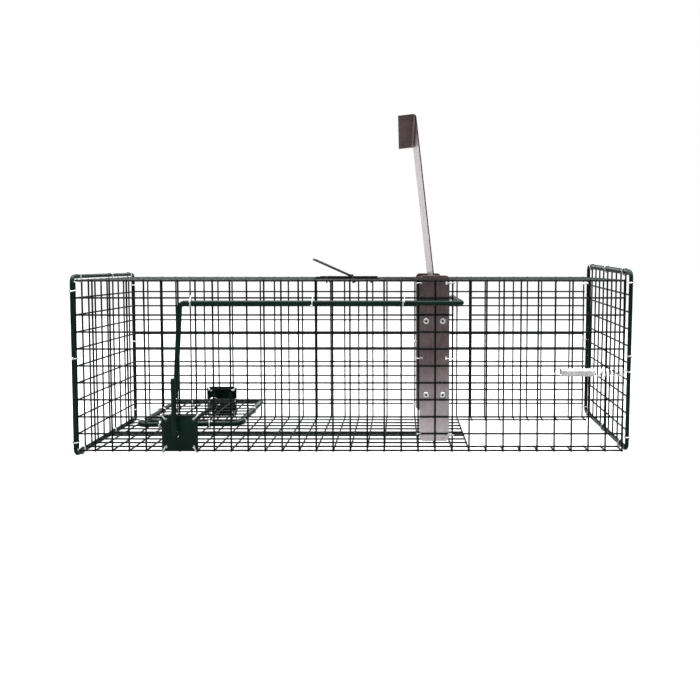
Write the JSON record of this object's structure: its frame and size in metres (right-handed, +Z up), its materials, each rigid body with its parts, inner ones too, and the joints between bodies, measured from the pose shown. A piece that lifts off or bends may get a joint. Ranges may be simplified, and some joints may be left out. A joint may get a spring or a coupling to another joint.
{
  "type": "live catch trap",
  "caption": "Wire mesh cage trap with a guillotine door held up by a bent-bar crank, a tilting mesh treadle, a hinged sprung end door and a carrying handle.",
  "frame": {"origin": "middle of the floor mesh, on the underside of its wires", "axes": "+X along the cage towards the hinged end door, +Y towards the back panel away from the trigger crank, +Z up"},
  "size_m": [0.8205, 0.2784, 0.5042],
  "materials": {
    "mesh_paint": "semi-gloss dark green coat on welded wire",
    "bar_paint": "semi-gloss dark green coat on round bar",
    "sheet_steel": "satin galvanised sheet",
    "zinc_wire": "bright zinc plate",
    "guard_paint": "satin black coat"
  },
  "bodies": {
    "cage": {"back_mesh": "mesh_paint", "crank_ring_1": "zinc_wire", "crank_ring_2": "zinc_wire", "crank_ring_3": "zinc_wire", "end_frame": "bar_paint", "end_frame_ring_back_high": "zinc_wire", "end_frame_ring_back_low": "zinc_wire", "end_frame_ring_back_middle": "zinc_wire", "end_frame_ring_foot": "zinc_wire", "end_frame_ring_front_high": "zinc_wire", "end_frame_ring_front_low": "zinc_wire", "end_frame_ring_front_middle": "zinc_wire", "end_mesh": "mesh_paint", "floor_mesh": "mesh_paint", "floor_strip_back": "mesh_paint", "floor_strip_front": "mesh_paint", "front_mesh": "mesh_paint", "guide_plate_back": "sheet_steel", "guide_plate_front": "sheet_steel", "guide_rail_back_left": "sheet_steel", "guide_rail_back_right": "sheet_steel", "guide_rail_front_left": "sheet_steel", "guide_rail_front_right": "sheet_steel", "handle_clip_back": "guard_paint", "handle_clip_front": "guard_paint", "handle_guard": "guard_paint", "hinge_ring_high": "zinc_wire", "hinge_ring_low": "zinc_wire", "hinge_ring_middle": "zinc_wire", "pivot_plate_back": "bar_paint", "pivot_plate_front": "bar_paint", "pivot_ring_left_high": "zinc_wire", "pivot_ring_left_low": "zinc_wire", "pivot_ring_right_high": "zinc_wire", "pivot_ring_right_low": "zinc_wire", "rivet_back_left_high": "zinc_wire", "rivet_back_left_low": "zinc_wire", "rivet_back_right_high": "zinc_wire", "rivet_back_right_low": "zinc_wire", "rivet_front_left_high": "zinc_wire", "rivet_front_left_low": "zinc_wire", "rivet_front_right_high": "zinc_wire", "rivet_front_right_low": "zinc_wire", "top_mesh_left": "mesh_paint", "top_mesh_right": "mesh_paint"},
    "crank": {"crank": "bar_paint"},
    "treadle": {"treadle_frame": "bar_paint", "treadle_mesh": "mesh_paint", "treadle_axle": "bar_paint", "treadle_ring_front": "zinc_wire", "treadle_ring_back": "zinc_wire"},
    "door_foot": {"door_catch": "sheet_steel"},
    "door_sheet": {"drop_door": "sheet_steel"},
    "end_door": {"end_door_frame": "bar_paint", "end_door_mesh": "mesh_paint", "end_door_ring_low": "zinc_wire", "end_door_ring_middle": "zinc_wire", "end_door_ring_high": "zinc_wire"},
    "end_spring": {"end_door_spring": "zinc_wire"},
    "handle": {"handle": "zinc_wire"}
  },
  "joints": [
    {"name": "crank_turn", "type": "hinge", "parent": "cage", "child": "crank", "pos_m": [0, -0.13015, 0.2188], "axis": [1, 0, 0], "range_deg": [-75, 0]},
    {"name": "treadle_tilt", "type": "hinge", "parent": "cage", "child": "treadle", "pos_m": [-0.2543, 0, 0.0261], "axis": [0, 1, 0], "range_deg": [-10, 15]},
    {"name": "door_drop", "type": "slide", "parent": "cage", "child": "door_foot", "axis": [0, 0, -1], "range_m": [0, 0.217]},
    {"name": "door_lean", "type": "hinge", "parent": "door_foot", "child": "door_sheet", "pos_m": [0.1264, 0, 0.2209], "axis": [0.4376, 0.8992, 0], "range_deg": [0, 7.09]},
    {"name": "end_door_swing", "type": "hinge", "parent": "cage", "child": "end_door", "pos_m": [0.4076, 0.1314, 0], "axis": [0, -0.0332, 0.9995], "range_deg": [0, 150], "deforming": ["end_door_spring"]},
    {"name": "spring_hang", "type": "hinge", "parent": "cage", "child": "end_spring", "pos_m": [0.3, -0.125, 0.1178], "axis": [0, 1, 0], "range_deg": [0, 85.1]},
    {"name": "handle_swing", "type": "hinge", "parent": "cage", "child": "handle", "pos_m": [-0.005, 0, 0.2558], "axis": [0, 1, 0], "range_deg": [-23.5, 155]}
  ],
  "couplings": [
    {"joint": "door_lean", "follows": "door_drop", "rad_per_m": 0.5698},
    {"joint": "spring_hang", "follows": "end_door_swing", "ratio": 0.5667}
  ]
}
